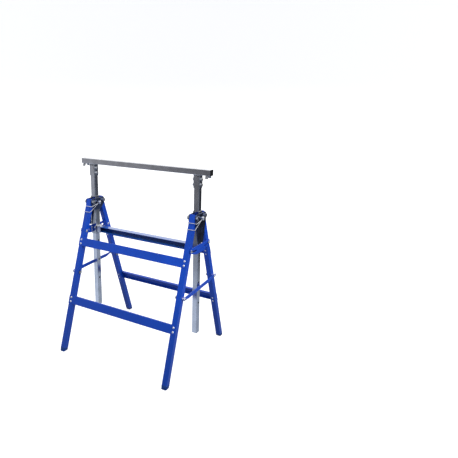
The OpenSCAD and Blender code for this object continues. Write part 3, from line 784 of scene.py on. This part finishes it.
class TRESTLE_OT_hex_fasteners(bpy.types.Operator):
    """Build the hexagon bolts with their threads, and the nuts"""

    bl_idname = "trestle.hex_fasteners"
    bl_label = "Hexagon bolts and nuts"

    def execute(self, context):
        zinc = shaded_bolt_zinc(context)
        for node, body in (("leg_pivot", "head"), ("socket", "sliding_top")):
            bm = bmesh.new()
            for bolt, nut in zip(solids(f"{node}_bolts"), solids(f"{node}_nuts")):
                self.bolt(bm, bolt, nut, context.scene.trestle_sizes)
            add_piece(f"{node}_bolts_turned", bm, body, zinc, [f"{node}_bolts"])
            self.nuts(f"{node}_nuts", body, zinc)
        self.nuts("stay_pivot_nuts", "front_frame", zinc, LEG_LEAN)
        self.nuts("stay_hook_nuts", "rear_frame", zinc, -LEG_LEAN)
        return {"FINISHED"}

    def bolt(self, bm, bolt, nut, sizes):
        """Head at the end away from the nut, plain shank, and thread past the nut."""
        low, high = bolt
        middle = (low + high) / 2
        outward = 1 if (nut[0].x + nut[1].x) / 2 < middle.x else -1
        flats, length = high.z - low.z, high.x - low.x
        radius, washer = flats / FLATS_PER_RADIUS, WASHER_FACE * flats / 2
        head = HEAD_PER_DIAMETER * 2 * radius
        seat, collar = length - head, length - HEXAGON_SHARE * head
        thread = min(nut[1].x - low.x, high.x - nut[0].x)
        tip = TIP_PITCHES * sizes.thread_pitch
        start = Vector((low.x if outward > 0 else high.x, middle.y, middle.z))
        axes = Matrix.Translation(start) @ Matrix.Rotation(outward * math.pi / 2, 4, "Y")
        loft(bm, axes, [
            (0, 0), (radius - sizes.thread_depth, 0),
            *thread_rings(radius, tip, thread, sizes.thread_pitch, sizes.thread_depth),
            (radius, seat), (washer, seat), (washer, collar),
            *hex_rings(flats, collar, length),
            (DISH_SHARE * flats / 2, length), (0, length - DISH_DEPTH * head)])

    def nuts(self, node, body, zinc, turn=0.0):
        """Nuts turned down at both faces, their flats square to what they clamp."""
        bm = bmesh.new()
        for low, high in solids(node):
            middle = (low + high) / 2
            axes = (Matrix.Translation((low.x, middle.y, middle.z))
                    @ Matrix.Rotation(turn, 4, "X") @ ALONG_X)
            thick = high.x - low.x
            flats = 2 * self.half_flats(node, middle, turn)
            bore = flats / FLATS_PER_RADIUS
            loft(bm, axes, [
                (bore, 0), *hex_rings(flats, 0, thick, True), (bore, thick), (bore, 0)])
        add_piece(f"{node}_turned", bm, body, zinc, [node])

    def half_flats(self, node, middle, turn):
        """Half the distance across a nut's flats, measured square to its leg."""
        axes = Matrix.Translation(middle) @ Matrix.Rotation(turn, 4, "X")
        return min(
            high.z for low, high in solids(node, axes) if low.z < 0 < high.z and low.x < 0 < high.x)


class TRESTLE_OT_round_fasteners(bpy.types.Operator):
    """Build the rivets and finish the stop pins, stay bolts, washers and lock pins"""

    bl_idname = "trestle.round_fasteners"
    bl_label = "Rivets, pins and washers"

    def execute(self, context):
        zinc = fastener_zinc(context)
        for side in SIDES:
            bm = bmesh.new()
            for low, high in solids(f"{side}_rail_rivets", LEG_AXES[side]):
                self.rivet(bm, LEG_AXES[side], low, high)
            add_piece(f"{side}_rail_rivets_set", bm, f"{side}_frame", zinc,
                      [f"{side}_rail_rivets"])
        rounding = context.scene.trestle_sizes.sheet_edge / 2
        dress(["front_stop_pins", "rear_stop_pins", "stay_pivot_bolts", "stay_hook_bolts",
               *both_ends("lock_pin")], zinc, rounding)
        dress(["leg_pivot_washers"], shaded_bolt_zinc(context), rounding)
        return {"FINISHED"}

    def rivet(self, bm, leg_axes, low, high):
        """Blind rivet: a broad domed head with its mandrel's dimple in front, a bulb behind."""
        middle = (low + high) / 2
        radius, length = (high.x - low.x) / 2, high.y - low.y
        axes = (leg_axes @ Matrix.Translation((middle.x, high.y, middle.z))
                @ Matrix.Rotation(math.pi / 2, 4, "X"))
        shank, head, bulb = RIVET_SHANK * radius, RIVET_HEAD * radius, RIVET_BULB * radius
        seat = length - head
        back = [(0, 0), (BULB_END_RADIUS * radius, BULB_ROUNDING * bulb), (BULB_RADIUS * radius, bulb)]
        dome = [ring for ring in domed(radius, seat, head) if ring[0] > DIMPLE_RIM * radius]
        dimple = [
            (DIMPLE_RADIUS * radius, length - DIMPLE_EDGE * head), (0, length - DIMPLE_BOTTOM * head)]
        loft(bm, axes, [*back, (shank, bulb), (shank, seat), *dome, *dimple], sides=32)


class TRESTLE_OT_clips(bpy.types.Operator):
    """Finish the lock pins' spring-wire clips"""

    bl_idname = "trestle.clips"
    bl_label = "Wire clips"

    def execute(self, context):
        for name in both_ends("pin_clip"):
            wire = frame["nodes"][name]
            wire.material_slots[0].material = fastener_zinc(context)
            wire.modifiers.new("join split corners", "NODES").node_group = corner_joiner()
            rounder = wire.modifiers.new("round wire", "SUBSURF")
            rounder.levels = rounder.render_levels = 2
        return {"FINISHED"}


class TRESTLE_OT_plastic(bpy.types.Operator):
    """Build the moulded feet and finish the beam's end caps"""

    bl_idname = "trestle.plastic"
    bl_label = "Feet and end caps"

    def execute(self, context):
        colours, sizes = context.scene.trestle_colours, context.scene.trestle_sizes
        navy = plastic_finish("navy_plastic", colours.navy, gloss=0.42)
        black = plastic_finish("black_plastic", colours.black, gloss=0.38)
        for side in SIDES:
            for end in ENDS:
                node = f"{side}_foot_{end}"
                bm = bmesh.new()
                self.foot(bm, node, LEG_AXES[side], sizes)
                add_piece(f"{node}_moulded", bm, f"{side}_frame", navy, [node])
        dress(both_ends("beam_cap"), black, sizes.tube_corner / 2)
        return {"FINISHED"}

    def foot(self, bm, node, leg_axes, sizes):
        """Rounded block square to its leg, grooved round and cut level where it stands."""
        (low, high), = solids(node, leg_axes)
        half = (high.x - low.x) / 2
        axes = leg_axes @ Matrix.Translation(((low.x + high.x) / 2, 0, 0))
        rim = self.rim_height(node, leg_axes)
        outline = rounded_square(half, FOOT_CORNER * half)
        sole = rounded_square(half, SOLE_CORNER * half)
        inner = rounded_square(PLUG_SHARE * half, PLUG_CORNER * half)
        upward = axes.to_3x3() @ Vector((0, 0, 1))

        def on_floor(angle, radius):
            point = axes @ Vector((radius * math.cos(angle), radius * math.sin(angle), 0))
            return -point.z / upward.z

        def ring(lift, inset):
            return lambda angle: (
                sole(angle) - inset, on_floor(angle, sole(angle) - inset) + lift)

        def level(height, inset):
            return lambda angle: (outline(angle) - inset, height)

        def plug(height):
            return lambda angle: (inner(angle), height)

        groove = sizes.foot_groove
        rings = [(0, on_floor(0, 0)), ring(0, 3 * FOOT_EDGE), ring(0, FOOT_EDGE), ring(FOOT_EDGE, 0)]
        for step in range(sizes.foot_grooves):
            lift = GROOVE_START + GROOVE_STEP * step
            top = lift + GROOVE_WIDTH
            rings += [ring(lift, 0), ring(lift + groove / 2, groove),
                      ring(top - groove / 2, groove), ring(top, 0)]
        rings += [level(rim - FOOT_EDGE, 0), level(rim, FOOT_EDGE),
                  plug(rim), plug(high.z), (0, high.z)]
        loft(bm, axes, rings, sides=64)

    def rim_height(self, node, leg_axes):
        """Height along the leg at which the foot's block ends and the leg's tube begins."""
        (low, high), = solids(node.replace("foot", "leg"), leg_axes)
        return low.z


class TRESTLE_OT_welds(bpy.types.Operator):
    """Build the weld beads that hold the plates, brackets, sockets and lugs"""

    bl_idname = "trestle.welds"
    bl_label = "Weld beads"

    def execute(self, context):
        sizes = context.scene.trestle_sizes
        plate = bpy.data.materials["zinc_plate"]
        head, top = bmesh.new(), bmesh.new()
        for end in ENDS:
            self.plate_beads(head, end, sizes)
            self.bracket_beads(head, end, sizes)
            self.beam_beads(top, end, sizes)
        add_piece("head_welds", head, "head", plate)
        add_piece("top_welds", top, "sliding_top", plate)
        return {"FINISHED"}

    def plate_beads(self, bm, end, sizes):
        """Beads in the corners between the guide sleeve and the plates on its faces."""
        sleeve_low, sleeve_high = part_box(f"guide_sleeve_{end}")
        margin = 2 * sizes.weld
        for plate in ("outer_cheek", "inner_cheek", "spreader", "tie_plate"):
            low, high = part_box(f"{plate}_{end}")
            x = sleeve_high.x if low.x > (sleeve_low.x + sleeve_high.x) / 2 else sleeve_low.x
            for y in (sleeve_low.y, sleeve_high.y):
                bead(bm, (x, y, low.z + margin), (x, y, high.z - margin), sizes)

    def bracket_beads(self, bm, end, sizes):
        """Beads above and below the tie bar's bracket, on the tie plate's face."""
        low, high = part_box(f"tie_bracket_{end}")
        x = low.x if end == "left" else high.x
        for z in (low.z, high.z):
            bead(bm, (x, low.y + sizes.weld, z), (x, high.y - sizes.weld, z), sizes)

    def beam_beads(self, bm, end, sizes):
        """Beads under the beam, along the ends of its socket and lug plates."""
        for plate in ("beam_socket", "end_lugs"):
            low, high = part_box(f"{plate}_{end}")
            beam_low, beam_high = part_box("top_beam")
            for x in (low.x, high.x):
                bead(bm, (x, beam_low.y + 2 * sizes.weld, beam_low.z),
                     (x, beam_high.y - 2 * sizes.weld, beam_low.z), sizes)


class TRESTLE_OT_stage(bpy.types.Operator):
    """Set the floor, the lights, the even light all round and the camera"""

    bl_idname = "trestle.stage"
    bl_label = "Floor, lights and camera"

    def execute(self, context):
        stage = context.scene.trestle_stage
        self.floor(context, stage)
        self.sky(context, stage)
        self.key_light(context, stage)
        self.camera(context, stage)
        context.scene.view_settings.view_transform = "Standard"
        return {"FINISHED"}

    def floor(self, context, stage):
        """Flat disc that runs up into a backdrop all round."""
        finish = Finish("pale_floor")
        mottle = finish.noise(finish.place(), scale=3.0, detail=2.0)
        colour = context.scene.trestle_colours.floor
        finish.wear(
            base_color=finish.blend(mottle, shade(colour, 0.985), colour), roughness=0.75,
            emission_color=(1.0, 1.0, 1.0), emission_strength=stage.floor_glow)
        bend = stage.floor_bend
        turns = [math.radians(degrees) for degrees in range(0, 91, 10)]
        arc = [
            (stage.floor_radius + bend * math.sin(turn), bend * (1 - math.cos(turn)))
            for turn in turns]
        rim = (stage.floor_radius + bend, stage.rim_height)
        bm = bmesh.new()
        loft(bm, Matrix.Identity(4), [(0, 0), *arc, rim], sides=96)
        mesh = bpy.data.meshes.new("floor")
        bm.to_mesh(mesh)
        bm.free()
        mesh.materials.append(finish.material)
        mesh.shade_smooth()
        floor = bpy.data.objects.new("floor", mesh)
        floor.visible_diffuse = floor.visible_glossy = floor.visible_shadow = False
        context.scene.collection.objects.link(floor)

    def sky(self, context, stage):
        """Soft light all round: bright above, pale below, and dark at eye level except at the left."""
        world = bpy.data.worlds.new("studio")
        world.use_nodes = True
        sky = Shading(world.node_tree, "ShaderNodeBackground", "ShaderNodeOutputWorld")
        right, back, up = sky.axes(sky.node("ShaderNodeTexCoord", output="Generated"))
        # At eye level the left is lit, and the rest is dark
        level = sky.blend(sky.band(right, -0.85, -0.25), stage.sky_level, stage.sky_dark)
        # The floor's light is weaker to the right, weakest straight below, and rises at both sides
        around = sky.blend(sky.band(right, -0.3, 0.5), stage.sky_below, shade(stage.sky_below, 0.6))
        floor = sky.blend(sky.band(up, -0.80, -0.50), shade(stage.sky_below, 0.35), around)
        low = sky.blend(sky.band(up - sky.size_of(right) * 0.6, -0.69, -0.58), floor, level)
        # The light from above comes lower down behind, and a little lower at the left
        rise = up + back * 0.25 - right * 0.08
        sky.feed(color=sky.blend(sky.band(rise, 0.10, 0.42), low, stage.sky_above), strength=1.0)
        context.scene.world = world

    def key_light(self, context, stage):
        """Large soft lamp above, to the right of the camera."""
        light = bpy.data.lights.new("key", "AREA")
        light.shape, light.size, light.energy = "DISK", stage.key_size, stage.key_power
        lamp = bpy.data.objects.new("key", light)
        lamp.location = stage.key_place
        aim = Vector(stage.key_target) - Vector(stage.key_place)
        lamp.rotation_euler = aim.to_track_quat("-Z", "Y").to_euler()
        context.scene.collection.objects.link(lamp)

    def camera(self, context, stage):
        """Camera at the photograph's place, turned a little about its line of sight."""
        data = bpy.data.cameras.new("camera")
        data.lens = stage.lens
        data.sensor_width = SENSOR_WIDTH
        data.shift_x, data.shift_y = stage.shift
        camera = bpy.data.objects.new("camera", data)
        camera.location = stage.camera_place
        look = Vector(stage.camera_target) - Vector(stage.camera_place)
        level = look.to_track_quat("-Z", "Y").to_matrix().to_4x4()
        camera.rotation_euler = (level @ Matrix.Rotation(stage.roll, 4, "Z")).to_euler()
        context.scene.collection.objects.link(camera)
        context.scene.camera = camera


OPERATORS = (
    TRESTLE_OT_tubes, TRESTLE_OT_plates, TRESTLE_OT_painted_steel, TRESTLE_OT_hex_fasteners,
    TRESTLE_OT_round_fasteners, TRESTLE_OT_clips, TRESTLE_OT_plastic, TRESTLE_OT_welds,
    TRESTLE_OT_stage)
SETTINGS = {
    "trestle_colours": TrestleColours,
    "trestle_sizes": TrestleSizes,
    "trestle_stage": TrestleStage,
}


class TRESTLE_PT_panel(bpy.types.Panel):
    """Lists the trestle's groups of pieces and its settings"""

    bl_idname = "TRESTLE_PT_panel"
    bl_label = "Builders trestle"
    bl_space_type = "VIEW_3D"
    bl_region_type = "UI"
    bl_category = "Trestle"

    def draw(self, context):
        for operator in OPERATORS:
            self.layout.operator(operator.bl_idname)
        for settings, group in SETTINGS.items():
            for name in group.__annotations__:
                self.layout.prop(getattr(context.scene, settings), name)


CLASSES = (*SETTINGS.values(), *OPERATORS, TRESTLE_PT_panel)


def register():
    for entry in CLASSES:
        bpy.utils.register_class(entry)
    for name, group in SETTINGS.items():
        setattr(bpy.types.Scene, name, PointerProperty(type=group))


def unregister():
    for name in SETTINGS:
        delattr(bpy.types.Scene, name)
    for entry in reversed(CLASSES):
        bpy.utils.unregister_class(entry)


def main():
    register()
    for operator in OPERATORS:
        group, name = operator.bl_idname.split(".")
        getattr(getattr(bpy.ops, group), name)()


if __name__ == "__main__":
    main()
